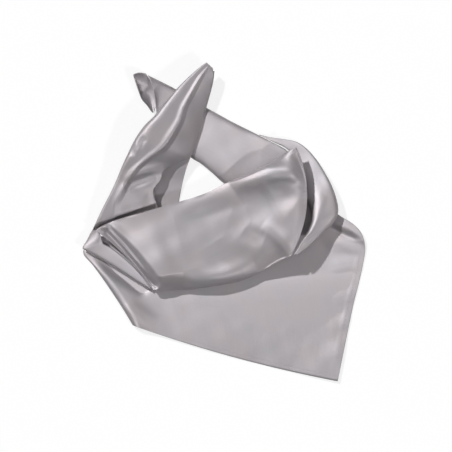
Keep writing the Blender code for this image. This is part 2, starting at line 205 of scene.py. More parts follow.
corners = FLOOR_REACH * np.array([(-1, -1, 0), (1, -1, 0), (1, 1, 0), (-1, 1, 0)], float)
floor_mesh = bpy.data.meshes.new("floor")
floor_mesh.from_pydata(corners.tolist(), [], [(0, 1, 2, 3)])
floor_mesh.materials.append(white_paper())
floor = bpy.data.objects.new("floor", floor_mesh)
bpy.context.scene.collection.objects.link(floor)
floor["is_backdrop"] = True
print("floor reaches", FLOOR_REACH, "m each way")

# %% [markdown]
# ## The satin
#
# Satin floats its warp threads over several weft threads, so light slides along them. That gives a
# broad highlight that is stretched across the threads, which is what anisotropy means, and the
# shader needs the thread direction: we give it from the cloth's own UV map. The map is in metres of
# cloth, so every texture here can be set by its real size.
#
# A sheen shader alone would give satin's pale edges but not its gloss. A mirror-like metal would be
# too sharp. So this is the Principled shader, mostly metallic, rough, with a touch of sheen.
#
# Three things break up the plain surface. A slow cloudy noise moves it between a cool and a pinkish
# grey. A fine noise that is long one way and short the other makes the streaks of uneven thread. A
# wave for each thread direction makes the weave itself, 0.35 mm a thread, as bump.

# %% The satin material
THREAD = 0.35 * MM
CLOUD = 34.0 * MM
STREAK_LENGTH = 26.0 * MM
STREAK_WIDTH = 0.9 * MM
COOL_GREY = (0.478, 0.458, 0.482, 1.0)
PINK_GREY = (0.508, 0.466, 0.482, 1.0)
# the wave texture's phase in radians for each unit of length, at a scale of 1
WAVE_PHASE = 20.0
# how much the streaks count in the bump beside the weave
STREAK_RELIEF = 1.4


def satin():
    """Principled satin: cloudy grey, streaked along the threads, with a woven bump."""
    material = bpy.data.materials.new("satin")
    material.use_nodes = True
    nodes, links = material.node_tree.nodes, material.node_tree.links
    shader = nodes["Principled BSDF"]
    shader.inputs["Metallic"].default_value = 0.7
    shader.inputs["Roughness"].default_value = 0.58
    shader.inputs["Specular IOR Level"].default_value = 0.5
    shader.inputs["Anisotropic"].default_value = 0.4
    shader.inputs["Sheen Weight"].default_value = 0.08
    shader.inputs["Sheen Roughness"].default_value = 0.4

    threads = nodes.new("ShaderNodeTangent")
    threads.direction_type = "UV_MAP"
    threads.uv_map = "cloth"
    links.new(threads.outputs["Tangent"], shader.inputs["Tangent"])

    place = nodes.new("ShaderNodeTexCoord")
    cloud = nodes.new("ShaderNodeTexNoise")
    cloud.inputs["Scale"].default_value = 1 / CLOUD
    cloud.inputs["Detail"].default_value = 3.0
    cloud.inputs["Roughness"].default_value = 0.55
    links.new(place.outputs["Object"], cloud.inputs["Vector"])
    tint = nodes.new("ShaderNodeValToRGB")
    tint.color_ramp.elements[0].position = 0.35
    tint.color_ramp.elements[0].color = COOL_GREY
    tint.color_ramp.elements[1].position = 0.65
    tint.color_ramp.elements[1].color = PINK_GREY
    links.new(cloud.outputs["Fac"], tint.inputs["Fac"])

    cloth = nodes.new("ShaderNodeUVMap")
    cloth.uv_map = "cloth"
    stretch = nodes.new("ShaderNodeMapping")
    stretch.inputs["Scale"].default_value = (1 / STREAK_LENGTH, 1 / STREAK_WIDTH, 1.0)
    links.new(cloth.outputs["UV"], stretch.inputs["Vector"])
    streak = nodes.new("ShaderNodeTexNoise")
    streak.inputs["Scale"].default_value = 1.0
    streak.inputs["Detail"].default_value = 2.0
    links.new(stretch.outputs["Vector"], streak.inputs["Vector"])
    shade = nodes.new("ShaderNodeMapRange")
    shade.inputs["To Min"].default_value = 0.955
    shade.inputs["To Max"].default_value = 1.045
    links.new(streak.outputs["Fac"], shade.inputs["Value"])
    colour = nodes.new("ShaderNodeMix")
    colour.data_type = "RGBA"
    colour.blend_type = "MULTIPLY"
    colour.inputs["Factor"].default_value = 1.0
    links.new(tint.outputs["Color"], colour.inputs["A"])
    links.new(shade.outputs["Result"], colour.inputs["B"])
    links.new(colour.outputs["Result"], shader.inputs["Base Color"])

    waves = []
    for direction in ("X", "Y"):
        wave = nodes.new("ShaderNodeTexWave")
        wave.bands_direction = direction
        wave.inputs["Scale"].default_value = 2 * np.pi / (WAVE_PHASE * THREAD)
        wave.inputs["Distortion"].default_value = 0.4
        links.new(cloth.outputs["UV"], wave.inputs["Vector"])
        waves.append(wave)
    weave = nodes.new("ShaderNodeMath")
    weave.operation = "MULTIPLY"
    links.new(waves[0].outputs["Fac"], weave.inputs[0])
    links.new(waves[1].outputs["Fac"], weave.inputs[1])
    relief = nodes.new("ShaderNodeMath")
    relief.operation = "MULTIPLY_ADD"
    relief.inputs[1].default_value = STREAK_RELIEF
    links.new(streak.outputs["Fac"], relief.inputs[0])
    links.new(weave.outputs["Value"], relief.inputs[2])
    bump = nodes.new("ShaderNodeBump")
    bump.inputs["Strength"].default_value = 0.25
    bump.inputs["Distance"].default_value = 0.05 * MM
    links.new(relief.outputs["Value"], bump.inputs["Height"])
    links.new(bump.outputs["Normal"], shader.inputs["Normal"])
    return material


SATIN = satin()
print("satin has", len(SATIN.node_tree.nodes), "shader nodes")

# %% [markdown]
# ## From a grid of points to a piece of cloth
#
# The real cloth is one thin layer everywhere, however it is folded. Drawn face by face, each stretch
# would be slow work. Worked out as grids of points, all of them can share one function that makes
# the mesh: it lays the faces between the rows, joins the last column to the first on a tube, and
# measures along the grid's lines for the UV map. It also sums up which way the upper faces look, and
# turns all the faces over if that is down.
#
# Solidify then gives the shell the cloth's thickness. It grows inwards, so the outside keeps its size.

# %% Meshes from grids
CLOTH = 0.45


def lengths(grid, axis):
    """How far each point lies along its row or column of the grid, added up step by step."""
    steps = np.linalg.norm(np.diff(grid, axis=axis), axis=-1)
    start = np.zeros_like(np.take(steps, [0], axis=axis))
    return np.concatenate([start, np.cumsum(steps, axis=axis)], axis=axis)


def cut_of(grid):
    """The mean width and length of the cloth in a grid, in metres."""
    return float(lengths(grid, 1)[:, -1].mean()), float(lengths(grid, 0)[-1].mean())


def cloth_piece(name, grid, tube=False, up=slice(None)):
    """A shell of cloth on a grid. The columns in up must face the sky on the whole."""
    rows, count = grid.shape[:2]
    number = np.arange(rows * count).reshape(rows, count)
    spread = grid
    if tube:
        number = np.hstack([number, number[:, :1]])
        spread = np.hstack([grid, grid[:, :1]])
    corners = [
        (slice(None, -1), slice(None, -1)),
        (slice(None, -1), slice(1, None)),
        (slice(1, None), slice(1, None)),
        (slice(1, None), slice(None, -1)),
    ]
    facing = np.cross(grid[1:, 1:] - grid[:-1, :-1], grid[1:, :-1] - grid[:-1, 1:])
    if facing[:, up, 2].sum() < 0:
        corners = corners[::-1]
    faces = np.stack([number[c] for c in corners], axis=-1).reshape(-1, 4)
    mesh = bpy.data.meshes.new(name)
    mesh.from_pydata(grid.reshape(-1, 3).tolist(), [], faces.tolist())
    along = np.stack([lengths(spread, 0), lengths(spread, 1)], axis=-1)
    uv = np.stack([along[c] for c in corners], axis=-2)
    layer = mesh.uv_layers.new(name="cloth")
    layer.data.foreach_set("uv", uv.reshape(-1).astype(np.float32))
    mesh.shade_smooth()
    mesh.materials.append(SATIN)
    piece = bpy.data.objects.new(name, mesh)
    bpy.context.scene.collection.objects.link(piece)
    wall = piece.modifiers.new("thickness", "SOLIDIFY")
    wall.thickness = CLOTH * MM
    wall.offset = -1.0
    print(name, rows, "x", count, "points")
    return piece


def hand_over(piece, node, rests_on, flat, held="folded", **more):
    """Puts one stretch on the root body and hides its node's plain solid."""
    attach(piece, "root")
    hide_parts(node)


# %% [markdown]
# ## Smooth curves through short tables
#
# A stretch is set by a short table, a row for each section across it. Straight steps from row to row
# would show as facets, and a B-spline would cut the corners that the rows mark. A Catmull-Rom spline
# fills in as many sections as the mesh needs and passes every row. Its direction there is that of
# the line that joins the row's two neighbours.
#
# Two smaller curves are used everywhere too: an even S from 0 to 1, and the parabola through three
# values.

# %% Curves through rows


def smooth_step(x):
    """0 below 0, 1 above 1, and an even S curve between."""
    x = np.clip(x, 0, 1)
    return x * x * (3 - 2 * x)


def parabola(start, middle, end, share):
    """The parabola that has the three values at shares 0, a half and 1."""
    return (
        start * (1 - share) * (1 - 2 * share)
        + middle * 4 * share * (1 - share)
        + end * share * (2 * share - 1)
    )


def through(rows, steps):
    """Even steps along the Catmull-Rom curve through the rows, each step with all the columns."""
    rows = np.array(rows, float)
    padded = np.vstack([2 * rows[0] - rows[1], rows, 2 * rows[-1] - rows[-2]])
    at = np.linspace(0, len(rows) - 1, steps)
    first = np.minimum(at.astype(int), len(rows) - 2)
    t = (at - first)[:, None]
    before, start, end, after = (padded[first + k] for k in range(4))
    return 0.5 * (
        2 * start
        + (end - before) * t
        + (2 * before - 5 * start + 4 * end - after) * t**2
        + (3 * start - before - 3 * end + after) * t**3
    )


def columns(table, names, steps):
    """The curve through a table's rows, as one column of values for each name."""
    curve = through(table, steps)
    return {name: curve[:, k : k + 1] for k, name in enumerate(names)}


def chord(c, share):
    """The place at each share of the way from edge a to edge b, moved sideways by the bow.

    The move is a parabola: nothing at the edges, and the whole bow half-way.
    """
    run_across = c["b_across"] - c["a_across"]
    run_down = c["b_down"] - c["a_down"]
    push = c["bow"] * 4 * share * (1 - share) / np.hypot(run_across, run_down)
    across = c["a_across"] + run_across * share - push * run_down
    down = c["a_down"] + run_down * share + push * run_across
    return across, down


print("0, 1 and 4 joined in nine steps:", through([[0], [1], [4]], 9)[:, 0].round(2))

# %% [markdown]
# ## Creases placed one by one
#
# Cloth simulation gives folds, but not these folds, and a sculpting brush leaves nothing to adjust. The
# photograph shows which creases this scarf took, so each one is laid as a soft trough or ridge: a curve
# through three places, a rise or a drop at its start, middle and end, and how far it spreads to either
# side. Added together on a fine grid, a dozen such rows make cloth that looks handled.

# %% The crease function
CREASE = (
    "from_across", "from_down", "by_across", "by_down", "to_across", "to_down",
    "rise_from", "rise_by", "rise_to", "left", "right", "sharp",
)
CREASE_STEPS = 49
# how blunt a crease's top is: a share of its width, and never less than this many mm
BLUNT_SHARE = 0.35
BLUNT_LEAST = 0.25
# the bell's power of the distance, and how much less it is on a sharp crease
BELL_POWER = 2.0
SHARP_DROP = 0.7
NEVER_ZERO = 1e-9


def creased(across, down, creases):
    """The height that all the creases add at each place.

    A crease follows the quadratic curve that passes its middle place half-way. Its height goes
    along it as the parabola through its three rises, and away from it as a bell of the distance
    over the width on that side; round its two ends one width turns into the other. A sharp crease
    has a bell with a pointed top.
    """
    total = np.zeros(np.broadcast(across, down).shape)
    t = np.linspace(0, 1, CREASE_STEPS)
    for row in creases:
        c = dict(zip(CREASE, row))
        start = np.array([c["from_across"], c["from_down"]])
        middle = np.array([c["by_across"], c["by_down"]])
        end = np.array([c["to_across"], c["to_down"]])
        pull = 2 * middle - (start + end) / 2
        path = np.outer((1 - t) ** 2, start) + np.outer(2 * t * (1 - t), pull) + np.outer(t**2, end)
        slope = np.gradient(path, axis=0)
        away_across = across[..., None] - path[:, 0]
        away_down = down[..., None] - path[:, 1]
        nearest = np.argmin(away_across**2 + away_down**2, axis=-1)
        away_across = np.take_along_axis(away_across, nearest[..., None], -1)[..., 0]
        away_down = np.take_along_axis(away_down, nearest[..., None], -1)[..., 0]
        run = slope[nearest]
        size2 = run[..., 0] ** 2 + run[..., 1] ** 2
        onward = (away_across * run[..., 0] + away_down * run[..., 1]) / size2
        at = nearest + np.clip(onward, -0.5, 0.5)
        at = np.clip(at, 0, CREASE_STEPS - 1)
        moved = at - nearest
        away_across = away_across - moved * run[..., 0]
        away_down = away_down - moved * run[..., 1]
        side = run[..., 0] * away_down - run[..., 1] * away_across
        u = at / (CREASE_STEPS - 1)
        rise = parabola(c["rise_from"], c["rise_by"], c["rise_to"], u)
        reach = np.sqrt(size2 * (away_across**2 + away_down**2)) + NEVER_ZERO
        rightward = (1 + np.clip(side / reach, -1, 1)) / 2
        width = c["left"] + (c["right"] - c["left"]) * rightward
        blunt = BLUNT_SHARE * width * (1 - c["sharp"]) + BLUNT_LEAST
        distance = np.sqrt(away_across**2 + away_down**2 + blunt**2) - blunt
        total = total + rise * np.exp(-((distance / width) ** (BELL_POWER - SHARP_DROP * c["sharp"])))
    return total


straight_ridge = (0.0, -30.0, 0.0, 0.0, 0.0, 30.0, 2.0, 2.0, 2.0, 6.0, 6.0, 0.0)
beside_it = creased(np.arange(0.0, 16.0, 3.0), np.zeros(6), [straight_ridge])
print("a ridge of 2 mm, every 3 mm away from it:", beside_it.round(2))

# %% [markdown]
# ## A sleeve of folded cloth
#
# Most stretches are the square's cloth folded round on itself: a flattened tube. A cylinder bent by a
# lattice could follow it, but its section changes too much on the way, from an open mouth to almost
# nothing at the pinch. So each row of a stretch's table describes its own section.
#
# Seen from above, a section is a line from edge a to edge b. The bow moves the line's middle sideways.
# The upper layer rises from the line by the crown, in an arch that is highest at the peak, a share of
# the way across. The lower layer hangs below the line by the belly, but never below the height named
# under, which is that of whatever it lies on. Both meet in a round fold at each edge. The crest is
# the height of a narrow ridge along the peak, and the fall is how far past the peak it is gone.
#
# Puffed cloth is held up by its own stiffness, so an arch can be flatter on top and steeper at its
# ends than a circle: its squareness says how much.

# %% The sleeve function
SLEEVE = (
    "a_across", "a_down", "a_height",
    "b_across", "b_down", "b_height",
    "crown", "belly", "peak", "bow", "under",
    "crest", "fall",
)
# creases fade out towards an edge, where the sine of the angle is less than this
EDGE_EASE = 0.35
# the least height of the upper layer over the lower one, in the middle of a section
LAYERS_APART = 1.1
# the crest: how wide its near side is, how short its drop may be, and the drop's power
RIDGE_SHARE = 0.09
LEAST_FALL = 0.01
DROP_POWER = 1.05
# each ripple's waves for each mm across and down, its phase, and its height in mm
RIPPLES = ((0.021, 0.034, 0.4, 0.16), (-0.030, 0.023, 2.1, 0.13), (0.047, -0.012, 4.4, 0.10))


def rippled(across, down, strength):
    """Faint unevenness of handled cloth: three slow sines that cross each other, added up."""
    total = 0
    for over, along, phase, size in RIPPLES:
        total = total + size * np.sin(2 * np.pi * (over * across + along * down) + phase)
    return strength * total


def arch(share, peak, squareness):
    """A rounded arch over shares 0 to 1: a superellipse, skewed so that its top is at the peak.

    Each side of the peak has its own squareness, a number or one for each section. 1 is a straight
    slope, 2 is round, and more is flat with a steep end.
    """
    skewed = share ** (np.log(0.5) / np.log(peak))
    power = np.where(skewed < 0.5, squareness[0], squareness[1])
    return np.clip(1 - np.abs(2 * skewed - 1) ** power, 0, None) ** (1 / power)


def crested(share, peak, fall):
    """A narrow bell up to the peak, then a nearly straight drop that is gone after the fall."""
    up = np.exp(-(((peak - share) / RIDGE_SHARE) ** 2))
    on = np.clip((share - peak) / np.maximum(fall, LEAST_FALL), 0, 1)
    return np.where(share < peak, up, (1 - on) ** DROP_POWER)


def sleeve(table, steps, above, below, creases=(), squareness=(2.0, 2.0), ripple=1.0, lean=1.0):
    """A grid round each section: the upper layer from a to b, then the lower one back.

    Points lie at even angles of half a turn, so they crowd at the folds. The line climbs from a to
    b as the share to the power lean: more than 1 climbs late. The lower layer is the line less the
    belly times the angle's sine. Creases, the crest and ripples shape the upper layer only.
    """
    c = columns(table, SLEEVE, steps)
    layers = []
    for count in (above, below):
        angle = np.linspace(0, np.pi, count)[None, :]
        share = (1 - np.cos(angle)) / 2
        across, down = chord(c, share)
        line = c["a_height"] + (c["b_height"] - c["a_height"]) * share**lean
        lower = np.maximum(line - c["belly"] * np.sin(angle), c["under"])
        ease = smooth_step(np.sin(angle) / EDGE_EASE)
        upper = line + c["crown"] * arch(share, c["peak"], squareness)
        shape = c["crest"] * crested(share, c["peak"], c["fall"])
        shape = ease * (shape + creased(across, down, creases) + rippled(across, down, ripple))
        upper = np.maximum(upper + shape, lower + LAYERS_APART * np.sin(angle))
        layers.append((in_place(across, down, upper), in_place(across, down, lower)))
    return np.concatenate([layers[0][0], layers[1][1][:, -2:0:-1]], axis=1)


def lay_sleeve(node, table, rests_on, steps, above, below, **shape):
    """Makes a sleeve from its table and puts it in its node's place."""
    grid = sleeve(table, steps, above, below, **shape)
    piece = cloth_piece(node + "_cloth", grid, tube=True, up=slice(0, above - 1))
    hand_over(piece, node, rests_on, cut_of(grid))


print("a round arch in four steps:", arch(np.linspace(0, 1, 5), 0.5, (2, 2)).round(2))

# %% [markdown]
# ## The puffed fold across the front
#
# This is the biggest stretch: the loop's front, folded down so that it stands up as a cowl. It opens at
# the left, where we look into a dark slot, and is pinched at the right. Cloth pressure in a simulation
# would puff it evenly, like a cushion. The real one stands higher towards its lower edge at the left,
# and its shoulder there is nearly a straight slope, which is what catches the light in a broad band.
# So the peak moves from row to row, and the lower side has a squareness for each row.
#
# Its creases are what the eye goes to, so its table of creases is the longest.

# %% The front cowl
ON_PANEL = 1.3
COWL_STEPS = 230

FRONT_COWL = (
    (96.2, 230.4, 17.5, 152.6, 289.4, 14.0, 1.6, 9.0, 0.50, -3.6, ON_PANEL, 0, 0),
    (99.5, 227.8, 17.6, 154.4, 290.2, 13.4, 2.6, 9.0, 0.50, -3.0, ON_PANEL, 0, 0),
    (104.0, 225.0, 17.8, 157.0, 290.6, 12.8, 12.0, 8.0, 0.52, -1.8, ON_PANEL, 0, 0),
    (109.5, 222.6, 18.0, 160.5, 290.7, 12.0, 15.0, 7.0, 0.68, 0.0, ON_PANEL, 0, 0),
    (119.0, 219.2, 18.0, 165.5, 290.7, 10.0, 16.0, 5.5, 0.79, 0.0, ON_PANEL, 0, 0),
    (140.0, 213.5, 18.0, 177.0, 290.2, 7.6, 15.0, 6.0, 0.79, 0.0, ON_PANEL, 0, 0),
    (160.0, 207.5, 18.0, 193.0, 289.0, 6.0, 12.5, 10.0, 0.78, 0.0, ON_PANEL, 0, 0),
    (182.0, 201.0, 18.0, 212.8, 286.3, 4.8, 12.5, 12.5, 0.72, 0.0, ON_PANEL, 0, 0),
    (205.0, 193.5, 18.5, 231.9, 283.0, 5.4, 12.5, 13.5, 0.70, 0.0, ON_PANEL, 0, 0),
    (229.0, 181.5, 19.5, 249.0, 277.5, 8.8, 11.5, 15.5, 0.66, 0.0, ON_PANEL, 0, 0),
    (252.0, 171.5, 20.5, 264.0, 269.5, 15.0, 11.0, 18.0, 0.60, -1.0, ON_PANEL, 0, 0),
    (274.0, 160.5, 23.0, 276.5, 262.0, 21.5, 9.0, 19.0, 0.52, -4.0, ON_PANEL, 0, 0),
    (288.0, 151.5, 26.5, 285.5, 257.5, 25.5, 6.5, 13.0, 0.50, -9.0, ON_PANEL, 0, 0),
    (296.0, 147.6, 28.5, 290.4, 256.0, 28.0, 1.0, 1.6, 0.50, -13.5, ON_PANEL, 0, 0),
)

COWL_CREASES = (
    # the trough behind the open rim
    (109.0, 232.0, 131.0, 253.5, 154.5, 284.0, -7.0, -9.5, -7.0, 4.2, 2.6, 0.0),
    # the roll along the upper edge at the right, the broad dark fall below it, and the crease that
    # runs from there to the right edge
    (230.0, 186.0, 262.0, 173.0, 298.0, 178.0, 0.5, 9.0, 2.5, 9.0, 12.0, 0.0),
    (236.0, 196.0, 254.0, 198.0, 270.0, 193.0, -1.0, -3.0, -0.8, 8.0, 26.0, 0.0),
    (264.0, 189.0, 284.0, 185.5, 303.0, 193.0, -1.2, -3.4, -1.2, 6.0, 17.0, 0.0),
    # the facet between the apex and the right edge
    (297.0, 152.0, 305.0, 172.0, 307.5, 192.0, -1.0, -5.0, 0.0, 6.0, 7.0, 0.0),
    # the long soft hollow below the upper edge
    (176.0, 228.0, 212.0, 218.0, 246.0, 209.0, -0.5, -4.2, -1.6, 11.0, 27.0, 0.0),
    # soft dents in the middle and towards the pinch
    (244.0, 230.0, 254.0, 236.0, 264.0, 240.0, 0.0, -1.6, 0.0, 6.0, 7.0, 0.0),
    (262.0, 225.0, 277.0, 237.0, 290.0, 252.0, 0.0, 1.8, 0.8, 6.0, 5.0, 0.0),
    (212.0, 244.0, 230.0, 260.0, 256.0, 263.0, 0.0, -2.0, 0.0, 12.0, 12.0, 0.0),
    # the roll along the lower edge, and the fall to that edge near the pinch
    (184.0, 287.5, 218.0, 283.0, 258.0, 271.5, 0.5, 7.5, 1.5, 12.0, 2.5, 0.0),
    (248.0, 279.0, 270.0, 267.0, 288.0, 256.0, 0.0, -3.0, -1.0, 10.0, 6.0, 0.0),
)

# how square the shoulder above the lower edge is, at each row of the cowl's table
LOWER_SHOULDER = (2.2, 2.0, 1.6, 1.3, 1.15, 1.1, 1.25, 1.7, 1.7, 1.6, 1.6, 1.8, 2.0, 2.0)

shoulder = through(np.array(LOWER_SHOULDER)[:, None], COWL_STEPS)
lay_sleeve(
    "front_cowl", FRONT_COWL, ["point_panel_cloth", "left_tail_cloth"],
    steps=COWL_STEPS, above=110, below=36, creases=COWL_CREASES, squareness=(2.3, shoulder),
)

# %% [markdown]
# ## The turn at the right
#
# The band comes round the right side of the loop, rises on its inner edge and runs into the same pinch
# as the cowl. It could be one tube with the back band. But the band lies pressed and the turn stands
# up, so they need different rows, and a narrow sleeve of its own is easier to adjust. It leans: its
# line climbs late, so that the outer part stays low and the inner edge rises steeply.

# %% The right turn
ON_PLEAT = 1.7

RIGHT_TURN = (
    (259.0, 134.6, 4.0, 262.4, 136.6, 4.6, 0.8, 2.4, 0.50, 0.0, 0.0, 0, 0),
    (270.0, 137.2, 4.4, 272.8, 141.8, 5.8, 1.2, 4.0, 0.45, 0.0, 0.0, 0, 0),
    (283.5, 139.2, 5.0, 285.4, 148.0, 6.4, 1.6, 4.8, 0.40, 0.0, 0.0, 0, 0),
    (296.5, 142.0, 5.4, 293.0, 156.0, 6.2, 2.2, 5.4, 0.36, 0.0, 0.0, 0, 0),
    (306.5, 148.6, 5.8, 297.0, 170.0, 6.2, 2.8, 5.6, 0.34, 0.0, 0.0, 0, 0),
    (315.5, 158.6, 6.4, 299.5, 182.0, 6.8, 3.4, 6.0, 0.34, 0.0, 0.0, 0, 0),
    (323.5, 170.6, 7.2, 303.0, 193.0, 9.5, 4.4, 6.8, 0.36, 0.0, ON_PANEL, 0, 0),
    (331.0, 184.5, 8.2, 308.0, 203.0, 11.0, 6.6, 8.4, 0.38, 0.0, ON_PANEL, 0, 0),
    (336.3, 199.0, 8.8, 310.5, 212.0, 13.0, 8.4, 12.0, 0.44, 0.0, ON_PLEAT, 0, 0),
    (338.0, 212.0, 9.4, 310.8, 221.0, 15.5, 8.8, 14.0, 0.48, 0.0, ON_PLEAT, 0, 0),
    (333.5, 223.0, 10.5, 307.6, 230.5, 19.5, 8.0, 15.0, 0.52, 0.0, ON_PLEAT, 0, 0),
    (323.0, 232.8, 16.5, 303.4, 238.0, 26.0, 4.6, 15.5, 0.50, 0.0, ON_PLEAT, 0, 0),
    (312.0, 242.5, 22.0, 299.8, 244.0, 27.0, 2.8, 9.0, 0.50, 0.0, ON_PANEL, 0, 0),
    (303.5, 249.8, 25.5, 296.6, 249.8, 27.5, 1.8, 4.0, 0.50, 0.0, ON_PANEL, 0, 0),
    (297.0, 254.6, 27.0, 293.6, 254.0, 27.5, 1.2, 1.8, 0.50, 0.0, ON_PANEL, 0, 0),
)

TURN_CREASES = (
    # the soft ridge that catches the light
    (324.0, 194.0, 317.0, 209.0, 313.0, 225.0, 0.3, 1.1, 0.8, 4.0, 5.0, 0.0),
    # the crease at its lower right
    (332.0, 224.0, 326.0, 232.0, 316.0, 239.0, 0.0, -1.2, 0.0, 3.0, 3.0, 0.3),
)

lay_sleeve(
    "right_turn", RIGHT_TURN, ["point_panel_cloth"],
    steps=170, above=60, below=26, creases=TURN_CREASES, squareness=(3.6, 2.4), lean=1.7,
)

# %% [markdown]
# ## The band across the back
#
# Here the band lies pressed flat on the table, several layers thick. In a stack of sheets all but the
# top one would be points that nobody sees. So it is one closed roll with the layers' height, and its
# two ends are tucked under the tail and the cowl.

# %% The back band
BACK_BAND = (
    (190.5, 99.0, 4.6, 172.5, 137.4, 4.6, 4.6, 5.6, 0.50, 0.0, 0.0, 0, 0),
    (205.5, 107.4, 4.8, 190.0, 156.6, 5.2, 5.2, 5.8, 0.52, 0.0, 0.0, 0, 0),
    (218.3, 114.4, 4.8, 201.0, 163.8, 5.4, 5.4, 6.0, 0.54, 0.0, 0.0, 0, 0),
    (231.0, 121.4, 4.8, 212.0, 172.8, 5.4, 5.4, 6.0, 0.54, 0.0, 0.0, 0, 0),
    (243.8, 127.8, 4.6, 225.0, 184.0, 5.4, 5.2, 6.0, 0.54, 0.0, 0.0, 0, 0),
    (256.5, 134.2, 5.4, 239.0, 189.0, 5.0, 3.8, 6.0, 0.50, 0.0, 0.0, 0, 0),
    (271.0, 141.8, 6.6, 256.0, 183.0, 5.4, 2.2, 7.0, 0.50, 0.0, 0.0, 0, 0),
    (284.0, 148.6, 6.8, 271.0, 177.0, 5.4, 1.6, 7.0, 0.50, 0.0, 0.0, 0, 0),
    (290.0, 153.6, 6.8, 281.0, 172.0, 5.4, 1.4, 7.0, 0.50, 0.0, 0.0, 0, 0),
)

BAND_CREASES = (
    # one faint hollow along the band
    (212.0, 130.0, 238.0, 144.0, 262.0, 152.0, 0.0, -0.7, 0.0, 9.0, 9.0, 0.0),
)

lay_sleeve(
    "back_band", BACK_BAND, ["floor"],
    steps=110, above=70, below=24, creases=BAND_CREASES, squareness=(3.0, 2.6), ripple=0.7,
)

# %% [markdown]
# ## The tip at the far end
#
# Left of the crossing the band goes on to an open mouth. The band's table could run on to it, but the
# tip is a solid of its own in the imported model. So it is a short sleeve of its own, with the band's
# section at the crossing, and its last row stands higher to open the mouth.

# %% The back tip
BACK_TIP = (
    (189.8, 98.6, 4.6, 171.8, 137.0, 4.6, 4.4, 5.6, 0.50, 0.0, 0.0, 0, 0),
    (176.5, 89.7, 4.8, 163.0, 124.0, 4.6, 4.6, 5.6, 0.50, 0.0, 0.0, 0, 0),
    (163.0, 82.7, 5.2, 157.5, 116.0, 4.6, 5.0, 5.6, 0.50, 0.0, 0.0, 0, 0),
    (148.2, 75.4, 6.0, 156.4, 111.6, 5.0, 6.5, 5.8, 0.45, -2.0, 0.0, 0, 0),
)

lay_sleeve(
    "back_tip", BACK_TIP, ["floor"],
    steps=60, above=60, below=24, squareness=(2.8, 2.8), ripple=0.6,
)

# %% [markdown]
# ## Single layers
#
# Where only one layer of the square shows, a tube would be twice the cloth. A single layer needs less
# of a table too: the two edges of each section, and the height in its middle.

# %% The single layer function
SHEET = (
    "a_across", "a_down", "a_height",
    "b_across", "b_down", "b_height",
    "middle", "bow",
)
LOWEST_SHEET = 0.6


def lay_sheet(node, table, rests_on, steps, count, creases=()):
    """Makes a single layer from its table and puts it in its node's place.

    Across it the height is the parabola through a, the middle and b, with the creases added.
    """
    c = columns(table, SHEET, steps)
    share = np.linspace(0, 1, count)[None, :]
    across, down = chord(c, share)
    height = parabola(c["a_height"], c["middle"], c["b_height"], share)
    height = height + creased(across, down, creases)
    grid = in_place(across, down, np.maximum(height, LOWEST_SHEET))
    hand_over(cloth_piece(node + "_cloth", grid), node, rests_on, cut_of(grid))


print("a single layer never goes below", LOWEST_SHEET, "mm")

# %% [markdown]
# ## The curled corner
#
# Out of the tip's mouth the lower layer's corner curls up like a leaf, and we look into its hollow
# side. A Simple Deform modifier could curl a flat corner, but only about a straight axis. Here each
# row across the corner has its own three heights, so the curl tightens towards its point.

# %% The tip's curl
TIP_CURL = (
    (158.0, 87.5, 4.2, 160.0, 106.0, 3.8, 2.6, 0.0),
    (149.8, 79.6, 5.8, 155.6, 108.0, 4.9, 2.6, 0.0),
    (146.4, 74.4, 8.6, 152.9, 112.6, 5.2, 2.6, 0.0),
    (143.2, 73.4, 10.4, 147.6, 105.8, 7.4, 3.2, 0.0),
    (138.8, 73.2, 12.0, 142.0, 99.0, 9.8, 5.4, 1.0),
    (135.4, 74.2, 12.8, 138.4, 89.0, 11.4, 9.0, 1.0),
    (133.8, 74.8, 13.0, 135.8, 79.6, 12.6, 12.2, 0.4),
)

CURL_CREASES = (
    # two small wrinkles in the hollow
    (136.0, 85.0, 141.0, 87.5, 148.0, 86.0, 0.0, 0.6, 0.2, 2.2, 2.2, 0.0),
    (140.0, 95.0, 145.0, 97.0, 150.0, 97.0, 0.0, 0.6, 0.2, 2.2, 2.2, 0.0),
)

lay_sheet("tip_curl", TIP_CURL, ["back_tip_cloth"], steps=70, count=60, creases=CURL_CREASES)

# %% [markdown]
# ## The left tail
#
# The upper tail starts under the cowl and climbs over the back band to its point. Its arch is square on
# the left and nearly a straight slope on the right, with a small crest along its top, close to the
# left side at first and then in the middle. Left of the crest the satin faces the key lamp, right of
# it the satin turns away: that one edge between light and dark is what makes the tail read as a fold.
#
# The crest could be a crease like the others. It is a column of the table instead, because it runs
# from end to end and has to stay on the peak.

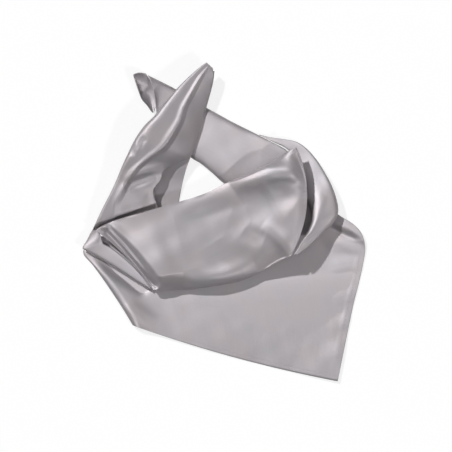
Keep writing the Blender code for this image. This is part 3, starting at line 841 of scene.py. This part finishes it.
# %% The left tail
LEFT_TAIL = (
    (91.9, 231.4, 7.5, 157.0, 217.0, 8.0, 4.0, 8.0, 0.36, 0.0, 0.0, 0.4, 0.12),
    (97.0, 220.6, 8.2, 157.6, 207.0, 9.5, 7.0, 8.6, 0.30, 0.0, 0.0, 0.8, 0.12),
    (103.5, 207.0, 9.6, 155.0, 198.5, 11.0, 7.6, 10.0, 0.24, 0.0, 0.0, 1.2, 0.12),
    (110.8, 193.0, 11.4, 154.6, 190.0, 12.4, 8.4, 11.2, 0.25, 0.0, 0.0, 1.6, 0.12),
    (117.0, 179.6, 13.4, 160.5, 180.0, 13.2, 9.0, 11.5, 0.27, 0.0, 0.0, 1.9, 0.12),
    (121.5, 168.5, 15.6, 164.0, 172.0, 13.5, 10.0, 11.0, 0.33, 0.0, 3.0, 2.1, 0.12),
    (127.5, 155.5, 18.4, 174.0, 164.5, 13.0, 12.0, 9.0, 0.43, 0.0, 8.0, 2.2, 0.10),
    (135.3, 139.8, 21.4, 190.0, 156.4, 13.2, 13.5, 5.6, 0.50, 0.0, 12.1, 2.2, 0.10),
    (144.5, 126.5, 23.2, 197.0, 140.0, 13.2, 13.5, 6.2, 0.54, 0.0, 12.1, 2.2, 0.10),
    (154.7, 116.3, 24.2, 201.5, 125.0, 13.2, 12.5, 6.6, 0.54, 0.0, 12.2, 2.2, 0.10),
    (162.8, 106.2, 24.4, 204.6, 108.6, 13.6, 10.5, 6.4, 0.52, 0.0, 12.8, 2.1, 0.10),
    (176.6, 89.8, 23.4, 209.5, 93.0, 15.0, 7.0, 5.0, 0.50, 0.0, 14.0, 1.8, 0.12),
    (190.0, 76.5, 21.8, 212.4, 80.5, 16.6, 4.6, 3.6, 0.46, 0.0, 15.4, 1.4, 0.14),
    (200.0, 67.8, 20.6, 213.2, 73.6, 17.8, 2.8, 2.4, 0.45, 0.0, 16.6, 0.8, 0.16),
    (206.6, 63.0, 19.5, 212.4, 68.4, 18.5, 1.5, 1.6, 0.50, 0.0, 16.6, 0, 0.16),
)

TAIL_CREASES = (
    # short wrinkles on the left slope
    (139.5, 150.0, 141.5, 143.0, 147.0, 137.5, 0.0, -1.2, 0.0, 2.8, 2.8, 0.0),
    (131.5, 157.0, 133.5, 151.0, 138.0, 146.5, 0.0, -1.1, 0.0, 2.8, 2.8, 0.0),
    (135.5, 154.0, 138.5, 147.0, 143.0, 140.0, 0.0, 0.6, 0.0, 2.4, 2.4, 0.0),
    # the dip under the cowl's upper edge
    (98.0, 231.0, 128.0, 218.0, 158.0, 210.0, -3.0, -4.0, -3.0, 3.5, 9.0, 0.0),
    # the pocket on the lower part and the folds round it
    (124.0, 188.0, 138.0, 182.0, 156.0, 177.0, 0.0, -2.8, -0.6, 4.0, 5.0, 0.0),
    (124.0, 181.0, 142.0, 172.5, 161.0, 169.0, 0.0, 1.5, 0.5, 4.0, 3.5, 0.0),
    (128.0, 191.0, 145.0, 188.0, 160.0, 180.0, 0.0, 1.2, 0.4, 3.0, 6.0, 0.0),
    (146.0, 208.0, 149.0, 200.0, 152.0, 193.0, 0.0, 0.8, 0.4, 3.0, 3.0, 0.0),
)

lay_sleeve(
    "left_tail", LEFT_TAIL, ["back_band_cloth", "tail_leaf_cloth"],
    steps=230, above=100, below=34, creases=TAIL_CREASES, squareness=(4.0, 1.15),
)

# %% [markdown]
# ## The tail's lower layer
#
# Under the tail lies a single leaf of the square, whose edge runs along the neck hole. It rests on the
# band where they cross and comes down to the floor at its lower end. It could be pressed onto the
# band by a Shrinkwrap, which would copy the band's every ripple. A few smooth sections lie on it as
# stiff satin does.

# %% The tail's leaf
TAIL_LEAF = (
    (205.0, 72.6, 16.0, 214.6, 71.6, 16.2, 16.1, 0.0),
    (197.0, 84.0, 14.4, 212.8, 84.6, 14.8, 14.6, 0.0),
    (187.0, 103.0, 12.0, 207.2, 105.4, 12.0, 12.0, 0.0),
    (181.0, 118.0, 11.7, 203.4, 120.4, 11.7, 11.7, 0.0),
    (174.0, 136.0, 11.6, 198.4, 138.2, 11.7, 11.8, 0.0),
    (167.0, 149.0, 10.2, 193.4, 151.0, 11.5, 11.2, 0.0),
    (160.0, 163.0, 7.0, 187.4, 166.0, 8.8, 8.0, 0.0),
    (154.0, 178.0, 2.6, 182.8, 182.0, 3.8, 3.2, 0.0),
    (151.0, 196.0, 1.0, 179.2, 200.0, 1.2, 1.0, 0.0),
    (151.0, 214.0, 1.0, 177.0, 216.0, 1.0, 1.0, 0.0),
)

lay_sheet("tail_leaf", TAIL_LEAF, ["back_band_cloth"], steps=150, count=40)

# %% [markdown]
# ## The lip under the open end
#
# Below the cowl's mouth a second fold shows, pressed flat, with its rounded left corner. It is the
# slot's lower side, and the dark between the two is only their shadow. It could be made as a part of
# the cowl's own surface, turned back at the rim, but then the two could not be moved apart to open
# the slot. So it is a thin sleeve with a low crown.

# %% The lower lip
LOWER_LIP = (
    (92.4, 230.2, 7.0, 97.8, 229.8, 13.0, 1.2, 3.0, 0.40, 0.0, 0.0, 0, 0),
    (90.4, 233.6, 7.6, 99.0, 231.6, 13.6, 1.6, 5.0, 0.40, 0.0, 0.0, 0, 0),
    (87.2, 240.0, 8.2, 100.8, 234.8, 13.4, 2.0, 6.0, 0.40, 0.2, 0.0, 0, 0),
    (83.9, 245.2, 9.0, 101.8, 237.8, 12.8, 2.2, 6.0, 0.40, 0.8, 0.0, 0, 0),
    (83.0, 248.6, 9.4, 102.8, 241.2, 12.0, 2.2, 6.0, 0.40, 1.2, 0.0, 0, 0),
    (87.0, 250.8, 9.6, 104.6, 244.2, 11.4, 2.2, 6.0, 0.40, 0.8, 0.0, 0, 0),
    (97.0, 255.8, 9.8, 110.6, 247.2, 11.0, 2.2, 5.4, 0.42, 0.6, 0.0, 0, 0),
    (110.0, 263.6, 9.8, 120.0, 254.0, 10.8, 2.0, 5.0, 0.45, 0.5, 0.0, 0, 0),
    (124.0, 272.4, 9.6, 130.6, 263.2, 10.4, 1.8, 4.6, 0.45, 0.4, 0.0, 0, 0),
    (138.0, 281.4, 9.2, 141.6, 274.6, 9.6, 1.6, 3.8, 0.45, 0.2, 0.0, 0, 0),
    (150.0, 289.0, 8.0, 151.0, 286.0, 8.4, 1.2, 2.0, 0.50, 0.0, 0.0, 0, 0),
)

lay_sleeve(
    "lower_lip", LOWER_LIP, ["point_panel_cloth"],
    steps=110, above=40, below=20, squareness=(3.4, 3.4), ripple=0.4,
)

# %% [markdown]
# ## The corner panel
#
# The corner hangs out flat at the lower right: one layer of cloth on the table. Its left edge is rolled
# under in a soft fold, its other two edges are hemmed. The hem is a turned strip, so the cloth stands
# a little higher over it, and soft swells run in from the stitches.
#
# A plane pushed about by a displacement texture would be quicker, but nothing about it would be where
# the photograph has it. So this is one more table of sections, with two additions: the rolled edge
# has a small table of its own, and the points crowd there and at the hem, where the cloth bends most.

# %% The point panel
POINT_PANEL = (
    (92.0, 238.0, 3.0, 318.0, 196.0, 1.0, 1.0, 0.0),
    (86.0, 245.5, 3.6, 326.0, 205.0, 1.0, 1.0, 0.0),
    (83.4, 251.0, 4.2, 339.5, 215.5, 1.0, 1.0, 0.0),
    (85.0, 256.4, 5.0, 353.0, 224.0, 1.2, 1.0, 0.0),
    (93.0, 265.4, 6.4, 361.4, 233.5, 1.3, 1.0, 0.0),
    (103.0, 279.0, 6.8, 365.2, 247.5, 1.3, 1.0, 0.0),
    (111.5, 291.5, 7.0, 363.0, 264.0, 1.3, 1.0, 0.0),
    (118.5, 302.0, 7.2, 358.6, 284.0, 1.3, 1.0, 0.6),
    (124.0, 310.6, 7.6, 352.0, 311.0, 1.3, 1.0, 1.8),
    (132.8, 325.2, 8.4, 337.6, 381.2, 1.3, 1.3, 4.2),
)
ROLLED_EDGE = (
    # inward, share of the fold's rise
    (3.6, -0.15), (1.2, 0.02), (0.0, 0.32), (0.4, 0.62), (2.0, 0.85), (5.0, 0.98),
    (8.0, 0.96), (13.0, 0.76), (20.0, 0.50), (30.0, 0.24), (42.0, 0.07), (56.0, 0.0),
)
PANEL_STEPS = 260
ROLL_STEPS = 80
FLAT_STEPS = 64
RIGHT_REACH = 26.0
RIGHT_STEPS = 34
HEM_WIDTH = 6.0
HEM_EASE = 5.0
PANEL_FLOOR = 1.2

PANEL_CREASES = (
    # the dark valley under the lip, and the hollow below the cowl's open end
    (86.0, 251.5, 112.0, 266.5, 142.0, 286.0, -1.0, -3.5, -3.0, 2.5, 6.0, 0.0),
    (98.0, 240.0, 118.0, 255.0, 142.0, 281.0, -4.0, -4.0, -3.0, 6.0, 6.0, 0.0),
    # the raised pleat at the top right, and the small ridge below it
    (332.0, 220.0, 349.0, 227.0, 369.0, 239.0, 2.5, 4.6, 3.0, 16.0, 5.5, 0.0),
    (329.0, 231.0, 344.0, 240.0, 362.0, 243.0, 0.8, 1.5, 0.8, 3.0, 8.0, 0.0),
    # the swell inside the lower hem, and the small wrinkle at its left end
    (110.0, 318.0, 180.0, 345.0, 252.0, 368.0, 0.0, 1.8, 0.0, 26.0, 10.0, 0.0),
    (126.0, 302.0, 141.0, 314.0, 156.0, 324.0, 0.0, 1.2, 0.0, 6.0, 6.0, 0.0),
    # soft swells that run in from the right edge
    (364.0, 250.0, 345.0, 247.0, 325.0, 248.0, 0.5, 0.6, 0.0, 5.0, 6.0, 0.0),
    (361.0, 266.0, 345.0, 265.0, 326.0, 270.0, 0.6, 0.8, 0.0, 5.0, 7.0, 0.0),
    (356.0, 296.0, 344.0, 298.0, 330.0, 303.0, 0.5, 0.5, 0.0, 5.0, 6.0, 0.0),
    (352.0, 322.0, 341.0, 323.0, 328.0, 329.0, 0.6, 0.7, 0.0, 5.0, 6.0, 0.0),
    (347.0, 345.0, 335.0, 350.0, 318.0, 354.0, 0.4, 0.7, 0.0, 6.0, 7.0, 0.0),
    # the corner, which lifts a little off the table
    (290.0, 372.0, 322.0, 382.0, 348.0, 380.0, 0.4, 2.2, 3.0, 30.0, 12.0, 0.0),
)


def panel_surface():
    """The panel's grid: sections down it, and across it the rolled edge, the flat and the hem.

    The rolled edge is a smooth curve through its own table, scaled by the rise at each section.
    The side hem lifts the cloth by an even S curve just inside it. Creases and ripples are added
    everywhere but on the part that is rolled under.
    """
    c = columns(POINT_PANEL, SHEET, PANEL_STEPS)
    run_across = c["b_across"] - c["a_across"]
    width = np.hypot(run_across, c["b_down"] - c["a_down"])
    rolled = through(ROLLED_EDGE, ROLL_STEPS)
    hem = np.linspace(RIGHT_REACH, 0, RIGHT_STEPS)
    left = rolled[:, 0] / width
    right = 1 - hem / width
    between = np.linspace(0, 1, FLAT_STEPS + 2)[1:-1]
    share = np.hstack([left, left[:, -1:] + (right[:, :1] - left[:, -1:]) * between, right])
    across, down = chord(c, share)
    from_left = np.concatenate([rolled[:, 1], np.zeros(FLAT_STEPS + RIGHT_STEPS)])
    inward = (1 - share) * width
    from_right = 1 - smooth_step((inward - HEM_WIDTH) / HEM_EASE)
    height = (
        c["middle"]
        + (c["a_height"] - c["middle"]) * from_left
        + (c["b_height"] - c["middle"]) * from_right
    )
    outer = np.arange(share.shape[1]) >= np.argmin(rolled[:, 0])
    height = height + outer * (creased(across, down, PANEL_CREASES) + rippled(across, down, 0.5))
    return in_place(across, down, np.maximum(height, PANEL_FLOOR))


panel_grid = panel_surface()
panel = cloth_piece("point_panel_cloth", panel_grid)

# %% [markdown]
# ## The hems
#
# The square's edges are turned under once and stitched, so along the two hemmed edges a second strip
# of cloth lies below the panel. A strip with a table of its own would cut through the panel somewhere.
# So its surface is the panel's own, pushed down by the cloth and a hair of air. To find the strip we
# walk in from the panel's last row along each of its columns, and read off the points at a few
# distances.
#
# Each hem shows along a part of its edge only, so the grid's columns and rows where it starts and ends
# are named too.

# %% The hem strips
HEM_AIR = 0.15
HEM_FROM = 0.1
HEM_COUNT = 9
LOWER_FROM = 75
SIDE_FROM = 118
SIDE_TO = 252


def walked_in(grid, distances):
    """The points of each column at the given distances from the grid's last row, in millimetres."""
    back = grid[::-1]
    gone = lengths(back, 0)
    column = np.arange(grid.shape[1])
    rows = []
    for distance in distances:
        first = np.clip((gone <= distance * MM).sum(axis=0) - 1, 0, len(gone) - 2)
        start, end = gone[first, column], gone[first + 1, column]
        part = ((distance * MM - start) / (end - start))[:, None]
        rows.append(back[first, column] * (1 - part) + back[first + 1, column] * part)
    return np.stack(rows)


def hem_strip(name, node, edge_grid):
    """A strip under the panel along the grid's last row, one hem wide."""
    strip = walked_in(edge_grid, np.linspace(HEM_FROM, HEM_WIDTH, HEM_COUNT))
    strip[..., 2] -= (CLOTH + HEM_AIR) * MM
    piece = cloth_piece(name, strip)
    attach(piece, "root")
    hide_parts(node)
    print(name, "lowest point", round(float(strip[..., 2].min()) / MM - CLOTH, 2), "mm")
    return piece


lower_edge = panel_grid[:, LOWER_FROM:-1]
side_edge = panel_grid[SIDE_FROM:SIDE_TO, ROLL_STEPS:].transpose(1, 0, 2)
lower_hem = hem_strip("lower_hem_cloth", "hem_lower", lower_edge)
side_hem = hem_strip("side_hem_cloth", "hem_side", side_edge)

# %% [markdown]
# ## The stitches
#
# A row of small stitches holds each hem, five millimetres in from the edge. An array of one modelled
# stitch along a curve would do. A formula gives the same row without a curve object: each stitch is
# the visible half of a thread, a thin bead, longer than wide, sunk to its middle in the cloth.

# %% The stitch rows
STITCH_IN = 5.0
STITCH_EVERY = 3.0
STITCH_LENGTH = 2.1
STITCH_WIDTH = 0.34
STITCH_SIDES = 6
STITCH_RINGS = 5
# where the row starts, and where a bead's first ring lies on its half turn, both as shares
ROW_START = 0.02
RING_START = 0.12


def stitch_row(name, edge_grid):
    """Beads along the line STITCH_IN from the edge: each a ball stretched along the line.

    A bead's point is the cosine of its tilt along the line, and the tilt's sine times the turn's
    cosine beside the line and sine above it, each times half the stitch's length or width.
    """
    line = walked_in(edge_grid, (STITCH_IN,))[0]
    gone = lengths(line[None], 1)[0]
    count = int(gone[-1] / (STITCH_EVERY * MM))
    places = np.linspace(ROW_START, 1 - ROW_START, count) * gone[-1]
    middle = np.stack([np.interp(places, gone, line[:, k]) for k in range(3)], axis=-1)
    ahead = np.stack([np.interp(places + MM, gone, line[:, k]) for k in range(3)], axis=-1)
    along = (ahead - middle) / np.linalg.norm(ahead - middle, axis=-1, keepdims=True)
    beside = np.cross([0.0, 0.0, 1.0], along)
    turn = np.linspace(0, 2 * np.pi, STITCH_SIDES, endpoint=False)
    tilt = np.linspace(RING_START * np.pi, (1 - RING_START) * np.pi, STITCH_RINGS)
    ring = np.sin(tilt)[:, None]
    onward = np.cos(tilt)[:, None] * np.ones(STITCH_SIDES)
    shape = (
        onward[..., None] * along[:, None, None] * STITCH_LENGTH
        + (ring * np.cos(turn))[..., None] * beside[:, None, None] * STITCH_WIDTH
        + (ring * np.sin(turn))[..., None] * np.array([0.0, 0.0, 1.0]) * STITCH_WIDTH
    )
    points = middle[:, None, None] + shape * MM / 2
    number = np.arange(points[..., 0].size).reshape(points.shape[:3])
    here, there = number[:, :-1], number[:, 1:]
    sides = np.stack([here, there, np.roll(there, -1, 2), np.roll(here, -1, 2)], axis=-1)
    mesh = bpy.data.meshes.new(name)
    caps = number[:, 0].tolist() + number[:, -1, ::-1].tolist()
    mesh.from_pydata(points.reshape(-1, 3).tolist(), [], sides.reshape(-1, 4).tolist() + caps)
    mesh.shade_smooth()
    mesh.materials.append(SATIN)
    mesh.uv_layers.new(name="cloth")
    piece = bpy.data.objects.new(name, mesh)
    bpy.context.scene.collection.objects.link(piece)
    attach(piece, "root")
    print(name, count, "stitches")
    return piece


lower_stitches = stitch_row("lower_hem_stitches", lower_edge)
side_stitches = stitch_row("side_hem_stitches", side_edge)

# %% [markdown]
# ## The panel and its hems are one sheet
#
# The hems are cut from the square together with the panel, and the stitches are sewn on it. The hems
# and stitches are already on the body, so here the panel goes there too, in its node's place.

hand_over(
    panel, "point_panel", ["floor"], cut_of(panel_grid), held="laid",
    with_pieces=[lower_hem, side_hem, lower_stitches, side_stitches],
)

# %% [markdown]
# ## How the cloth sits in its solids' box
#
# The cloth may stand a little out of the plain solids' box, by millimetres. Both boxes are measured,
# and the most they differ by is printed.

# %% Measure and finish
visual_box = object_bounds()
past = (np.abs(np.array(visual_box) - np.array(cad_box)) / MM).max(axis=0)
print("the cloth's box differs by", past.round(1), "mm at most, across, down and up")
